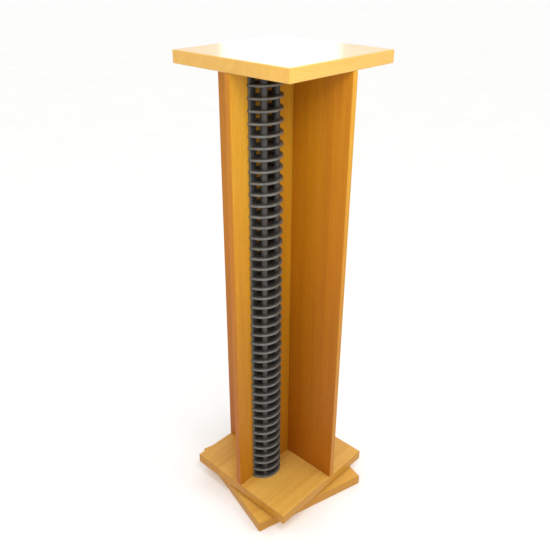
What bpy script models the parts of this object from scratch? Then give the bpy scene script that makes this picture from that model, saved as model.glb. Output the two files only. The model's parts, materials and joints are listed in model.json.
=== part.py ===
"""Revolving video-cassette tower: a square floor base, a turning base on a flat ball bearing,
three upright boards set in a Z, two black finned racks and a square top.

Units are metres and +Z is up. The origin is the centre of the floor base's underside, and +Z
through it is the axis that the tower turns on. The tower stands square to X and Y. The floor
base is turned under it by BASE_TURN."""

from math import cos, pi, radians, sqrt

import bmesh
import bpy
from mathutils import Matrix, Vector

# Slabs and boards
SLAB_SIDE = 0.400           # the three square slabs
SLAB_THICK = 0.0343
SLAB_ARRIS = 0.0028         # rounding of the slabs' edges
BOARD_THICK = 0.0189        # the three upright boards
BOARD_ARRIS = 0.0017
DIVIDER_NEAR_FACE = 0.0293  # from the turning axis to the face of a divider that looks at its rack
BASE_TURN = radians(-15.4)  # the floor base under the tower, as it stands

# Racks
PITCH = 0.03106             # one cassette slot, fin to fin
SLOTS_PER_RACK = 14
RACKS_PER_SIDE = 3
FIN_THICK = 0.0023
FIN_RADIUS = 0.0594         # struck from the middle of the centre board's thickness
FIN_STEPS = 7
LIP_HIGH = 0.006            # lip round a fin, fin included; it hangs down
LIP_WIDE = 0.004
RACK_CENTRE = 0.0857        # rack's centre line from the turning axis
STRIP_INNER = 0.0315        # mounting strips, measured from the rack's centre line
STRIP_OUTER = 0.0543
STRIP_THICK = 0.004
RAIL_HIGH = 0.005           # cross rail between the strips, above each fin
POST_RADIUS = 0.0095
POST_SPREAD = 0.0229        # posts, each side of the rack's centre line
POST_DEPTH = 0.024          # posts, out from the board's face
POST_SIDES = 6
LEFT_SCREW_SLOT = 3.5       # height of each fixing screw, in slots above the rack's foot
RIGHT_SCREW_SLOT = 10.5

# Bearing
BEARING_HIGH = 0.009
PLATE_SIDE = 0.150
PLATE_CLIP = 0.010          # the plates' clipped corners
PLATE_THICK = 0.0012
PLATE_HOLE_PLACE = 0.063    # corner screws, from the middle along both sides
BALL_ROOM = 0.0001          # between a ball and each plate
BALL_TRACK = 0.054          # radius of the circle of balls
BALL_COUNT = 18
CAGE_WIDTH = 0.006
CAGE_THICK = 0.0008
TRACK_RIDGE = 0.0010        # height and width of the ridge outside the balls
COLLAR_RADIUS = 0.045       # outside of the lower plate's rolled collar
COLLAR_WALL = 0.0012
LIP_REACH = 0.0026          # the collar's lip beyond the collar
RIM_WIDTH = 0.0024          # dished rim of the upper plate, held under that lip
RIM_RISE = 0.0018           # run of the slope from that rim up to the plate
TURN_STEPS = 24             # facets round a ring

# Fixings
SCREW_RADIUS = 0.0017
SCREW_TIP = 0.003
PAN_RADIUS = 0.0037
PAN_HIGH = 0.0017
SHEET_SCREW_LONG = 0.014    # under the head: bearing screws and rack screws
BASE_SCREW_RADIUS = 0.0021
BASE_SCREW_LONG = 0.060     # over all
SINK_RADIUS = 0.0042        # countersunk head
SINK_HIGH = 0.003
HEAD_TURN = radians(30)     # where a pan head starts to round over
DOWEL_RADIUS = 0.004
DOWEL_CHAMFER = 0.001
DOWEL_LONG = 0.030
DOWEL_IN_BOARD = 0.010      # how deep a divider's dowels go into the centre board
DOWEL_LEVELS = (1 / 6, 1 / 2, 5 / 6)
FIXING_REACH = 0.137        # base screws and top dowels, out from the turning axis
ACCESS_RADIUS = 0.008       # hole in the floor base that a screwdriver passes through
ROUND_STEPS = 8             # facets round a screw, a dowel or a hole

# Clearances
GAP = 0.0003                # between faces that touch
HOLE_ROOM = 0.0004          # round a screw or a dowel, and past its end
CUT_PAST = 0.002            # how far a cutter runs past a face
OVERLAP = 0.0005            # how far two shapes run into each other where they are joined
MERGE = 1e-6                # points closer than this are one
ROUND_SHADE = radians(35)   # shaded as a curve below this angle between facets

# Levels
TURNING_LOW = SLAB_THICK + BEARING_HIGH
TURNING_TOP = TURNING_LOW + SLAB_THICK
RACK_STEP = PITCH * SLOTS_PER_RACK
BOARD_HIGH = RACK_STEP * RACKS_PER_SIDE + LIP_HIGH + 2 * GAP
TOP_LOW = TURNING_TOP + BOARD_HIGH
HALF_SLAB = SLAB_SIDE / 2
HALF_BOARD = BOARD_THICK / 2
DIVIDER_CENTRE = DIVIDER_NEAR_FACE + HALF_BOARD
BALL_RADIUS = BEARING_HIGH / 2 - GAP - PLATE_THICK - BALL_ROOM


def clear_scene():
    for old in list(bpy.data.objects):
        bpy.data.objects.remove(old, do_unlink=True)


def make_material(name, colour, roughness, metallic=0.0):
    material = bpy.data.materials.new(name)
    material.use_nodes = True
    shader = material.node_tree.nodes["Principled BSDF"]
    shader.inputs["Base Color"].default_value = (*colour, 1.0)
    shader.inputs["Roughness"].default_value = roughness
    shader.inputs["Metallic"].default_value = metallic
    return material


def honey_wood():
    return make_material("Varnished honey-toned wood", (0.62, 0.33, 0.09), 0.40)


def black_abs():
    return make_material("Moulded black ABS", (0.05, 0.045, 0.04), 0.45)


def zinc_steel():
    return make_material("Zinc-plated steel", (0.62, 0.62, 0.60), 0.35, 1.0)


def dowel_beech():
    return make_material("Plain beech dowel", (0.70, 0.52, 0.34), 0.60)


def empty_on_axis(name, turn=0.0):
    empty = bpy.data.objects.new(name, None)
    bpy.context.scene.collection.objects.link(empty)
    empty.rotation_euler = (0.0, 0.0, turn)
    return empty


def object_from(name, shape, material=None, parent=None):
    mesh = bpy.data.meshes.new(name)
    bmesh.ops.recalc_face_normals(shape, faces=shape.faces)
    shape.to_mesh(mesh)
    shape.free()
    made = bpy.data.objects.new(name, mesh)
    bpy.context.scene.collection.objects.link(made)
    if material is not None:
        mesh.materials.append(material)
    made.parent = parent
    return made


def shade_round(piece):
    piece.data.shade_smooth()
    piece.data.set_sharp_from_angle(angle=ROUND_SHADE)


def hide_tool(tool, parent):
    tool.hide_render = True
    tool.display_type = "WIRE"
    tool.parent = parent
    return tool


def boolean(piece, tool, operation):
    modifier = piece.modifiers.new(operation.title(), "BOOLEAN")
    modifier.operation = operation
    modifier.solver = "EXACT"
    modifier.object = tool


def add_box(shape, low, high):
    low, high = Vector(low), Vector(high)
    place = Matrix.Translation((low + high) / 2) @ Matrix.Diagonal((*(high - low), 1.0))
    return bmesh.ops.create_cube(shape, size=1.0, matrix=place)["verts"]


def add_rod(shape, foot, direction, length, foot_radius, head_radius=None, steps=ROUND_STEPS):
    """A round bar or a cone from foot, along direction."""
    turned = Vector((0, 0, 1)).rotation_difference(Vector(direction)).to_matrix().to_4x4()
    place = Matrix.Translation(foot) @ turned @ Matrix.Translation((0, 0, length / 2))
    return bmesh.ops.create_cone(
        shape, cap_ends=True, segments=steps, depth=length, matrix=place,
        radius1=foot_radius, radius2=foot_radius if head_radius is None else head_radius,
    )["verts"]


def turned(profile, steps=ROUND_STEPS, closed=False):
    """(radius, height) points spun round Z: a bar if the ends lie on Z, a ring if closed."""
    shape = bmesh.new()
    points = [shape.verts.new((radius, 0, height)) for radius, height in profile]
    pairs = list(zip(points, points[1:]))
    if closed:
        pairs.append((points[-1], points[0]))
    edges = [shape.edges.new(pair) for pair in pairs]
    bmesh.ops.spin(
        shape, geom=points + edges, cent=(0, 0, 0), axis=(0, 0, 1),
        angle=2 * pi, steps=steps, use_merge=True,
    )
    bmesh.ops.remove_doubles(shape, verts=shape.verts, dist=MERGE)
    return shape


def soften(shape, width, segments, upright_only=False):
    def wanted(edge):
        along = (edge.verts[0].co - edge.verts[1].co).normalized()
        return abs(along.z) > 0.9 or not upright_only

    bmesh.ops.bevel(
        shape, geom=[edge for edge in shape.edges if wanted(edge)], affect="EDGES",
        offset=width, segments=segments, profile=0.5, material=-1,
    )


def hole_cutter(name, holes, parent):
    """One cutter for all the round holes of a board: (mouth, direction, depth, radius)."""
    shape = bmesh.new()
    for mouth, direction, depth, radius in holes:
        along = Vector(direction)
        add_rod(shape, Vector(mouth) - along * CUT_PAST, along, depth + CUT_PAST, radius)
    return hide_tool(object_from(name, shape), parent)


# Where the fixings go

def base_fixing_places():
    """Centre lines of the base screws and the top dowels, in plan."""
    return {
        "centre_left": (-FIXING_REACH, 0.0),
        "centre_right": (FIXING_REACH, 0.0),
        "front": (DIVIDER_CENTRE, -FIXING_REACH),
        "rear": (-DIVIDER_CENTRE, FIXING_REACH),
    }


def dowel_levels():
    return [TURNING_TOP + BOARD_HIGH * level for level in DOWEL_LEVELS]


def rack_screw_places():
    """Rack screws on the front of the centre board: (x, z) of the left and right ones."""
    middle = (STRIP_INNER + STRIP_OUTER) / 2
    places = []
    for rack in range(RACKS_PER_SIDE):
        foot = TURNING_TOP + rack * RACK_STEP
        places.append((-RACK_CENTRE - middle, foot + LEFT_SCREW_SLOT * PITCH))
        places.append((-RACK_CENTRE + middle, foot + RIGHT_SCREW_SLOT * PITCH))
    return places


def corner_places():
    return [(sx * PLATE_HOLE_PLACE, sy * PLATE_HOLE_PLACE) for sx in (-1, 1) for sy in (-1, 1)]


# The boards

def make_slab(name, low, holes, material, parent):
    shape = bmesh.new()
    add_box(shape, (-HALF_SLAB, -HALF_SLAB, low), (HALF_SLAB, HALF_SLAB, low + SLAB_THICK))
    soften(shape, SLAB_ARRIS, 2)
    slab = object_from(name, shape, material, parent)
    boolean(slab, hole_cutter(name + "_holes", holes, parent), "DIFFERENCE")
    return slab


def make_floor_base(material, parent):
    pilot = SCREW_RADIUS + HOLE_ROOM
    depth = SHEET_SCREW_LONG - PLATE_THICK
    holes = [((x, y, SLAB_THICK), (0, 0, -1), depth, pilot) for x, y in corner_places()]
    corner_reach = PLATE_HOLE_PLACE * sqrt(2)
    holes.append(((corner_reach, 0, 0), (0, 0, 1), SLAB_THICK + CUT_PAST, ACCESS_RADIUS))
    return make_slab("floor_base", 0.0, holes, material, parent)


def make_turning_base(material, parent):
    pilot = SCREW_RADIUS + HOLE_ROOM
    depth = SHEET_SCREW_LONG - PLATE_THICK
    holes = [((x, y, TURNING_LOW), (0, 0, 1), depth, pilot) for x, y in corner_places()]
    through = SLAB_THICK + CUT_PAST
    clear = BASE_SCREW_RADIUS + HOLE_ROOM
    for x, y in base_fixing_places().values():
        holes.append(((x, y, TURNING_LOW), (0, 0, 1), through, clear))
    slab = make_slab("turning_base", TURNING_LOW, holes, material, parent)
    sinks = bmesh.new()
    slope = (SINK_RADIUS - BASE_SCREW_RADIUS) / SINK_HIGH
    mouth = SINK_RADIUS + 2 * HOLE_ROOM + slope * (OVERLAP + GAP)
    high = (mouth - BASE_SCREW_RADIUS) / slope
    for x, y in base_fixing_places().values():
        foot = (x, y, TURNING_LOW - OVERLAP)
        add_rod(sinks, foot, (0, 0, 1), high, mouth, BASE_SCREW_RADIUS)
    tool = hide_tool(object_from("turning_base_countersinks", sinks), parent)
    boolean(slab, tool, "DIFFERENCE")
    return slab


def make_top_slab(material, parent):
    depth = DOWEL_LONG / 2 + HOLE_ROOM
    fit = DOWEL_RADIUS + HOLE_ROOM
    holes = [((x, y, TOP_LOW), (0, 0, 1), depth, fit) for x, y in base_fixing_places().values()]
    return make_slab("top_slab", TOP_LOW, holes, material, parent)


def end_holes(places):
    """Holes in the foot and the head of an upright board."""
    foot, head = TURNING_TOP + GAP, TOP_LOW - GAP
    screw_depth = BASE_SCREW_LONG - SLAB_THICK + HOLE_ROOM
    dowel_depth = DOWEL_LONG / 2 + HOLE_ROOM
    holes = []
    for x, y in places:
        holes.append(((x, y, foot), (0, 0, 1), screw_depth, BASE_SCREW_RADIUS + HOLE_ROOM))
        holes.append(((x, y, head), (0, 0, -1), dowel_depth, DOWEL_RADIUS + HOLE_ROOM))
    return holes


def make_board(name, low, high, holes, material, parent):
    shape = bmesh.new()
    add_box(shape, (*low, TURNING_TOP + GAP), (*high, TOP_LOW - GAP))
    soften(shape, BOARD_ARRIS, 2, upright_only=True)
    board = object_from(name, shape, material, parent)
    boolean(board, hole_cutter(name + "_holes", holes, parent), "DIFFERENCE")
    return board


def make_centre_board(material, parent):
    places = base_fixing_places()
    holes = end_holes([places["centre_left"], places["centre_right"]])
    pilot = SCREW_RADIUS + HOLE_ROOM
    depth = SHEET_SCREW_LONG - STRIP_THICK + HOLE_ROOM
    dowel_depth = DOWEL_IN_BOARD + HOLE_ROOM
    for side in (-1, 1):
        for x, z in rack_screw_places():
            holes.append(((-side * x, side * HALF_BOARD, z), (0, -side, 0), depth, pilot))
        for z in dowel_levels():
            mouth = (-side * DIVIDER_CENTRE, side * HALF_BOARD, z)
            holes.append((mouth, (0, -side, 0), dowel_depth, DOWEL_RADIUS + HOLE_ROOM))
    low, high = (-HALF_SLAB, -HALF_BOARD), (HALF_SLAB, HALF_BOARD)
    return make_board("centre_board", low, high, holes, material, parent)


def make_divider(name, side, material, parent):
    """side is -1 in front of the centre board and 1 behind it."""
    place = base_fixing_places()["front" if side < 0 else "rear"]
    holes = end_holes([place])
    depth = DOWEL_LONG - DOWEL_IN_BOARD + HOLE_ROOM
    inner = side * (HALF_BOARD + GAP)
    for z in dowel_levels():
        mouth = (-side * DIVIDER_CENTRE, inner, z)
        holes.append((mouth, (0, side, 0), depth, DOWEL_RADIUS + HOLE_ROOM))
    ends = sorted((inner, side * HALF_SLAB))
    middle = -side * DIVIDER_CENTRE
    low, high = (middle - HALF_BOARD, ends[0]), (middle + HALF_BOARD, ends[1])
    return make_board(name, low, high, holes, material, parent)


# The racks

def fin_arc(radius, back):
    """Points of an arc struck from inside the board, from one end of its chord to the other."""
    reach = sqrt(radius**2 - back**2)
    first = Vector((reach, back)).angle_signed(Vector((0, -1)))
    swings = [first - 2 * first * step / FIN_STEPS for step in range(FIN_STEPS + 1)]
    return [Matrix.Rotation(swing, 2) @ Vector((0, -radius)) for swing in swings]


def add_fin(shape, foot):
    """A thin shelf with an arched front and a lip that hangs down along the arc."""
    back = -HALF_BOARD - GAP - OVERLAP
    top, under = foot + LIP_HIGH, foot + LIP_HIGH - FIN_THICK
    outside, inside = fin_arc(FIN_RADIUS, back), fin_arc(FIN_RADIUS - LIP_WIDE, back)
    rows = []
    for arc, level in ((outside, top), (outside, foot), (inside, foot), (inside, under)):
        rows.append([shape.verts.new((x, y, level)) for x, y in arc])
    for row, other in zip(rows, rows[1:]):
        for step in range(FIN_STEPS):
            shape.faces.new((row[step], row[step + 1], other[step + 1], other[step]))
    shape.faces.new(rows[0])
    shape.faces.new(rows[-1])
    shape.faces.new([row[0] for row in rows] + [row[-1] for row in reversed(rows)])


def add_windows(shape, foot, fins):
    """The openings between the cross rails, one over each fin but the last, which closes the rack."""
    face = -HALF_BOARD - GAP
    for slot in range(SLOTS_PER_RACK):
        low = foot + slot * PITCH + LIP_HIGH + RAIL_HIGH
        high = foot + (slot + 1) * PITCH + (0 if slot + 1 < fins else CUT_PAST)
        add_box(
            shape,
            (-STRIP_INNER, face - STRIP_THICK - CUT_PAST, low),
            (STRIP_INNER, face + CUT_PAST, high),
        )


def make_rack(name, rack, side, material, parent):
    """One moulding: lipped fins on two round posts and on a back of strips and cross rails."""
    topmost = rack == RACKS_PER_SIDE - 1
    fins = SLOTS_PER_RACK + (1 if topmost else 0)
    foot = TURNING_TOP + GAP + rack * RACK_STEP
    low = foot + OVERLAP
    high = foot + RACK_STEP + (LIP_HIGH - OVERLAP if topmost else -GAP)
    face = -HALF_BOARD - GAP
    frame = bmesh.new()
    add_box(frame, (-STRIP_OUTER, face - STRIP_THICK, low), (STRIP_OUTER, face, high))
    for sign in (-1, 1):
        post = (sign * POST_SPREAD, -HALF_BOARD - POST_DEPTH, low)
        add_rod(frame, post, (0, 0, 1), high - low, POST_RADIUS, steps=POST_SIDES)
    moulding = object_from(name, frame, material, parent)
    windows = bmesh.new()
    add_windows(windows, foot, fins)
    boolean(moulding, hide_tool(object_from(name + "_windows", windows), parent), "DIFFERENCE")
    shelves = bmesh.new()
    for slot in range(fins):
        add_fin(shelves, foot + slot * PITCH)
    boolean(moulding, hide_tool(object_from(name + "_fins", shelves), parent), "UNION")
    holes = [
        (
            (x + RACK_CENTRE, face - STRIP_THICK, z), (0, 1, 0),
            STRIP_THICK + CUT_PAST, SCREW_RADIUS + HOLE_ROOM,
        )
        for x, z in rack_screw_places()[2 * rack : 2 * rack + 2]
    ]
    boolean(moulding, hole_cutter(name + "_holes", holes, parent), "DIFFERENCE")
    shade_round(moulding)
    pieces = [moulding, *[modifier.object for modifier in moulding.modifiers]]
    for piece in pieces:
        piece.location = (side * RACK_CENTRE, 0, 0)
        piece.rotation_euler = (0, 0, pi if side > 0 else 0)
    return moulding


# The bearing

def plate_sheet(name, low, hole_radius, material, parent):
    """A square sheet with clipped corners, a round middle hole and four screw holes."""
    shape = bmesh.new()
    half = PLATE_SIDE / 2
    add_box(shape, (-half, -half, low), (half, half, low + PLATE_THICK))
    soften(shape, PLATE_CLIP, 1, upright_only=True)
    sheet = object_from(name, shape, material, parent)
    cutters = bmesh.new()
    depth = PLATE_THICK + 2 * CUT_PAST
    foot = low - CUT_PAST
    add_rod(cutters, (0, 0, foot), (0, 0, 1), depth, hole_radius, steps=TURN_STEPS)
    for x, y in corner_places():
        add_rod(cutters, (x, y, foot), (0, 0, 1), depth, SCREW_RADIUS + HOLE_ROOM)
    boolean(sheet, hide_tool(object_from(name + "_holes", cutters), parent), "DIFFERENCE")
    return sheet


def join_ring(sheet, tag, profile, parent):
    ring = object_from(sheet.name + tag, turned(profile, TURN_STEPS, closed=True))
    boolean(sheet, hide_tool(ring, parent), "UNION")


def ridge_profile(face, rise):
    """The ridge that keeps the balls in, rooted in a sheet's face; rise is +1 up or -1 down."""
    inner = BALL_TRACK + CAGE_WIDTH / 2 + TRACK_RIDGE
    outer = inner + TRACK_RIDGE
    root = face - rise * OVERLAP
    crest = face + rise * TRACK_RIDGE
    return [(inner, root), (outer, root), (outer, crest), (inner, crest)]


def make_lower_plate(material, parent):
    low = SLAB_THICK + GAP
    top = low + PLATE_THICK
    inside = COLLAR_RADIUS - COLLAR_WALL
    sheet = plate_sheet("bearing_lower_plate", low, COLLAR_RADIUS + OVERLAP, material, parent)
    root = OVERLAP / 2
    lip_low = TURNING_LOW - GAP - PLATE_THICK - COLLAR_WALL
    lip = COLLAR_RADIUS + LIP_REACH
    join_ring(sheet, "_collar", [
        (COLLAR_RADIUS + 2 * OVERLAP, low + root),
        (COLLAR_RADIUS + 2 * OVERLAP, top - root),
        (COLLAR_RADIUS, top - root),
        (COLLAR_RADIUS, lip_low),
        (lip, lip_low),
        (lip, lip_low + COLLAR_WALL),
        (inside, lip_low + COLLAR_WALL),
        (inside, low + root),
    ], parent)
    join_ring(sheet, "_ridge", ridge_profile(top, 1), parent)
    return sheet


def make_upper_plate(material, parent):
    top = TURNING_LOW - GAP
    low = top - PLATE_THICK
    rim_top = low - COLLAR_WALL - GAP
    rim_inner = COLLAR_RADIUS + 2 * OVERLAP
    slope = rim_inner + RIM_WIDTH
    brim = slope + RIM_RISE
    sheet = plate_sheet("bearing_upper_plate", low, brim, material, parent)
    root = OVERLAP / 2
    join_ring(sheet, "_rim", [
        (rim_inner, rim_top - PLATE_THICK),
        (slope + OVERLAP, rim_top - PLATE_THICK),
        (brim + OVERLAP, low + root),
        (brim + 2 * OVERLAP, low + root),
        (brim + 2 * OVERLAP, top - root),
        (brim, top - root),
        (slope, rim_top),
        (rim_inner, rim_top),
    ], parent)
    join_ring(sheet, "_ridge", ridge_profile(low, -1), parent)
    return sheet


def make_ball_ring(material, parent):
    middle = SLAB_THICK + BEARING_HIGH / 2
    inner = BALL_TRACK - CAGE_WIDTH / 2
    outer = BALL_TRACK + CAGE_WIDTH / 2
    low, high = middle - CAGE_THICK / 2, middle + CAGE_THICK / 2
    profile = [(inner, low), (outer, low), (outer, high), (inner, high)]
    cage = object_from("ball_ring", turned(profile, TURN_STEPS, closed=True), material, parent)
    balls = bmesh.new()
    for number in range(BALL_COUNT):
        swing = Matrix.Rotation(2 * pi * number / BALL_COUNT, 4, "Z")
        place = swing @ Matrix.Translation((BALL_TRACK, 0, middle))
        bmesh.ops.create_uvsphere(
            balls, u_segments=6, v_segments=4, radius=BALL_RADIUS, matrix=place
        )
    boolean(cage, hide_tool(object_from("ball_ring_balls", balls), parent), "UNION")
    shade_round(cage)
    return cage


# The fixings

def pan_screw(name, place, direction, material, parent):
    """A pan-head screw whose head rests at place and whose shank runs along direction."""
    shape = turned([
        (0, -PAN_HIGH),
        (PAN_RADIUS * cos(HEAD_TURN), -PAN_HIGH),
        (PAN_RADIUS, -PAN_HIGH / 2),
        (PAN_RADIUS, 0),
        (SCREW_RADIUS, 0),
        (SCREW_RADIUS, SHEET_SCREW_LONG - SCREW_TIP),
        (0, SHEET_SCREW_LONG - HOLE_ROOM),
    ])
    screw = object_from(name, shape, material, parent)
    screw.location = Vector(place) - Vector(direction) * GAP
    screw.rotation_euler = Vector((0, 0, 1)).rotation_difference(Vector(direction)).to_euler()
    shade_round(screw)
    return screw


def sunk_screw(name, place, material, parent):
    """A countersunk screw driven straight up, its head just inside the underside."""
    shape = turned([
        (0, 0),
        (SINK_RADIUS, 0),
        (BASE_SCREW_RADIUS, SINK_HIGH),
        (BASE_SCREW_RADIUS, BASE_SCREW_LONG - SCREW_TIP),
        (0, BASE_SCREW_LONG - HOLE_ROOM),
    ])
    screw = object_from(name, shape, material, parent)
    screw.location = (*place, TURNING_LOW + GAP)
    shade_round(screw)
    return screw


def make_dowel(name, centre, direction, material, parent):
    """A dowel with chamfered ends, its middle at centre."""
    half = DOWEL_LONG / 2 - GAP
    shape = turned([
        (0, -half),
        (DOWEL_RADIUS - DOWEL_CHAMFER, -half),
        (DOWEL_RADIUS, DOWEL_CHAMFER - half),
        (DOWEL_RADIUS, half - DOWEL_CHAMFER),
        (DOWEL_RADIUS - DOWEL_CHAMFER, half),
        (0, half),
    ])
    dowel = object_from(name, shape, material, parent)
    dowel.location = centre
    dowel.rotation_euler = Vector((0, 0, 1)).rotation_difference(Vector(direction)).to_euler()
    shade_round(dowel)
    return dowel


def make_bearing_screws(material, base_axis, tower_axis):
    for number, (x, y) in enumerate(corner_places(), 1):
        lower = (x, y, SLAB_THICK + GAP + PLATE_THICK)
        pan_screw(f"lower_bearing_screw_{number}", lower, (0, 0, -1), material, base_axis)
        upper = (x, y, TURNING_LOW - GAP - PLATE_THICK)
        pan_screw(f"upper_bearing_screw_{number}", upper, (0, 0, 1), material, tower_axis)


def make_rack_screws(material, parent):
    out = HALF_BOARD + GAP + STRIP_THICK
    for tag, side in (("front", -1), ("rear", 1)):
        for number, (x, z) in enumerate(rack_screw_places(), 1):
            place = (-side * x, side * out, z)
            pan_screw(f"{tag}_rack_screw_{number}", place, (0, -side, 0), material, parent)


def make_base_fixings(steel, beech, parent):
    for tag, (x, y) in base_fixing_places().items():
        sunk_screw(f"base_screw_{tag}", (x, y), steel, parent)
        make_dowel(f"top_dowel_{tag}", (x, y, TOP_LOW), (0, 0, 1), beech, parent)


def make_divider_dowels(beech, parent):
    out = HALF_BOARD + DOWEL_LONG / 2 - DOWEL_IN_BOARD
    for tag, side in (("front", -1), ("rear", 1)):
        for number, z in enumerate(dowel_levels(), 1):
            centre = (-side * DIVIDER_CENTRE, side * out, z)
            make_dowel(f"{tag}_divider_dowel_{number}", centre, (0, 1, 0), beech, parent)


def make_tower():
    clear_scene()
    wood, abs_black, steel, beech = honey_wood(), black_abs(), zinc_steel(), dowel_beech()
    base_axis = empty_on_axis("base_axis", BASE_TURN)
    ring_axis = empty_on_axis("ring_axis")
    tower_axis = empty_on_axis("tower_axis")

    make_floor_base(wood, base_axis)
    make_lower_plate(steel, base_axis)
    make_ball_ring(steel, ring_axis)
    make_upper_plate(steel, tower_axis)
    make_turning_base(wood, tower_axis)
    make_centre_board(wood, tower_axis)
    make_divider("front_divider", -1, wood, tower_axis)
    make_divider("rear_divider", 1, wood, tower_axis)
    for tag, side in (("front", -1), ("rear", 1)):
        for rack in range(RACKS_PER_SIDE):
            make_rack(f"{tag}_rack_{rack + 1}", rack, side, abs_black, tower_axis)
    make_top_slab(wood, tower_axis)
    make_bearing_screws(steel, base_axis, tower_axis)
    make_rack_screws(steel, tower_axis)
    make_base_fixings(steel, beech, tower_axis)
    make_divider_dowels(beech, tower_axis)


make_tower()
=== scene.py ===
import json
from math import cos, pi, radians, sin, sqrt

import bmesh
import bpy
from mathutils import Matrix, Vector

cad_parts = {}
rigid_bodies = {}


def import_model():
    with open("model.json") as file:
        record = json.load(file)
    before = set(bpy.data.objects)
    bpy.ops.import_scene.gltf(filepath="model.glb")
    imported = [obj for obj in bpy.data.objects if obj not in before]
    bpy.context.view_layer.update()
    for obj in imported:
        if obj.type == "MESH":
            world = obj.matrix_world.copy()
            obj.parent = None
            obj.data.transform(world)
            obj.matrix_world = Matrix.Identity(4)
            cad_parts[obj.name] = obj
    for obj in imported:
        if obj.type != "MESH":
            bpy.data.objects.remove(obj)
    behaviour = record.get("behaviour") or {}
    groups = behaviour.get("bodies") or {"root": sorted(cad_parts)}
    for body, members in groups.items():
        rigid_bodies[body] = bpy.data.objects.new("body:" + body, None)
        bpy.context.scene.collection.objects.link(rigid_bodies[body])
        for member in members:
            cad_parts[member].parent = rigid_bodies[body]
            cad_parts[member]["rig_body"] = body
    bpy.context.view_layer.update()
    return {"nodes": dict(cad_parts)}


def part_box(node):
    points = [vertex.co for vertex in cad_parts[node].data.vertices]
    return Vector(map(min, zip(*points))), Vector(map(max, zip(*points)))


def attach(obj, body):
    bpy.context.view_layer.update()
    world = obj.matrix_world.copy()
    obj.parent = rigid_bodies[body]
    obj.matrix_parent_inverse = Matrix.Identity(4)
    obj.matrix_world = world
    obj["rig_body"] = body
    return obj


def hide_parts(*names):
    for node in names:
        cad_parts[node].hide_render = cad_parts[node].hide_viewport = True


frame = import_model()


# Studio: a white floor that the tower stands on, white all round, and five soft lamps. The one on
# the right is the strongest, one hangs close over the top, and one behind gives the top its glare.
# The camera stands at eye height, near the corner of the base, and looks down.

EYE = Vector((-1.2434, -1.1334, 1.6535))
HEADING = radians(43.03)
LOOK_DOWN = radians(27.46)
TILT = radians(0.28)
LENS_MM = 41.39
FLOOR_REACH = 40.0
LAMPS = {
    # name: (place, aimed at, side in metres, watts)
    "right_fill": ((1.1, -2.3, 1.9), (0.0, 0.0, 0.8), 1.4, 14.0),
    "left_high": ((-2.2, -0.5, 2.5), (0.0, 0.0, 1.1), 1.1, 4.3),
    "near_eye": ((-1.2, -1.2, 2.1), (0.0, 0.0, 1.4), 0.5, 2.8),
    "over_top": ((-0.45, -0.75, 2.0), (-0.05, -0.1, 1.35), 0.45, 5.5),
    "behind_top": ((2.0, 1.85, 2.0), (0.0, 0.0, 1.42), 0.8, 2.4),
}
SKY_STRENGTH = 1.0


def linear(hex_colour):
    """An sRGB hex colour as linear red, green, blue and alpha."""
    parts = [int(hex_colour[at : at + 2], 16) / 255 for at in (1, 3, 5)]
    return (*[p / 12.92 if p <= 0.04045 else ((p + 0.055) / 1.055) ** 2.4 for p in parts], 1.0)


def add_node(tree, kind, inputs=None, **settings):
    """A node with its settings. An input is a value, or the socket that feeds it."""
    node = tree.nodes.new(kind)
    for name, value in settings.items():
        setattr(node, name, value)
    for name, value in (inputs or {}).items():
        if isinstance(value, bpy.types.NodeSocket):
            tree.links.new(value, node.inputs[name])
        else:
            node.inputs[name].default_value = value
    return node


def new_material(name):
    """A material with its Principled shader, and Object coordinates to draw patterns on."""
    material = bpy.data.materials.new(name)
    material.use_nodes = True
    tree = material.node_tree
    place = add_node(tree, "ShaderNodeTexCoord").outputs["Object"]
    return material, tree, tree.nodes["Principled BSDF"], place


def colour_steps(tree, factor, stops, interpolation="EASE"):
    """A colour ramp through (position, hex colour) stops."""
    ramp = add_node(tree, "ShaderNodeValToRGB", {"Fac": factor})
    ramp.color_ramp.interpolation = interpolation
    steps = ramp.color_ramp.elements
    while len(steps) < len(stops):
        steps.new(0.5)
    for step, (position, colour) in zip(steps, stops):
        step.position = position
        step.color = linear(colour)
    return ramp.outputs["Color"]


def piece_from(name, shape, material):
    """A finished bmesh as an object of its own, at the origin."""
    bmesh.ops.recalc_face_normals(shape, faces=shape.faces)
    mesh = bpy.data.meshes.new(name)
    shape.to_mesh(mesh)
    shape.free()
    mesh.materials.append(material)
    piece = bpy.data.objects.new(name, mesh)
    bpy.context.scene.collection.objects.link(piece)
    return piece


def matte_floor():
    """Matt painted floor: near white, with a faint roller mottle."""
    material, tree, shader, place = new_material("Matt painted floor")
    mottle = add_node(tree, "ShaderNodeTexNoise", {"Vector": place, "Scale": 3.0, "Detail": 3.0})
    shade = colour_steps(tree, mottle.outputs["Fac"], [(0.3, "#FCFCFB"), (0.7, "#FEFEFD")])
    tree.links.new(shade, shader.inputs["Base Color"])
    shader.inputs["Roughness"].default_value = 0.8
    return material


sheet = bmesh.new()
bmesh.ops.create_grid(sheet, x_segments=2, y_segments=2, size=FLOOR_REACH)
floor = piece_from("studio_floor", sheet, matte_floor())

for lamp_name, (lamp_place, aim, side, watts) in LAMPS.items():
    light = bpy.data.lights.new(lamp_name, "AREA")
    light.size = side
    light.energy = watts
    lamp = bpy.data.objects.new(lamp_name, light)
    lamp.location = lamp_place
    lamp.rotation_euler = (Vector(aim) - Vector(lamp_place)).to_track_quat("-Z", "Y").to_euler()
    bpy.context.scene.collection.objects.link(lamp)

sky = bpy.data.worlds.new("white_studio")
sky.use_nodes = True
sky.node_tree.nodes["Background"].inputs["Color"].default_value = (1.0, 1.0, 1.0, 1.0)
sky.node_tree.nodes["Background"].inputs["Strength"].default_value = SKY_STRENGTH
bpy.context.scene.world = sky

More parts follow.
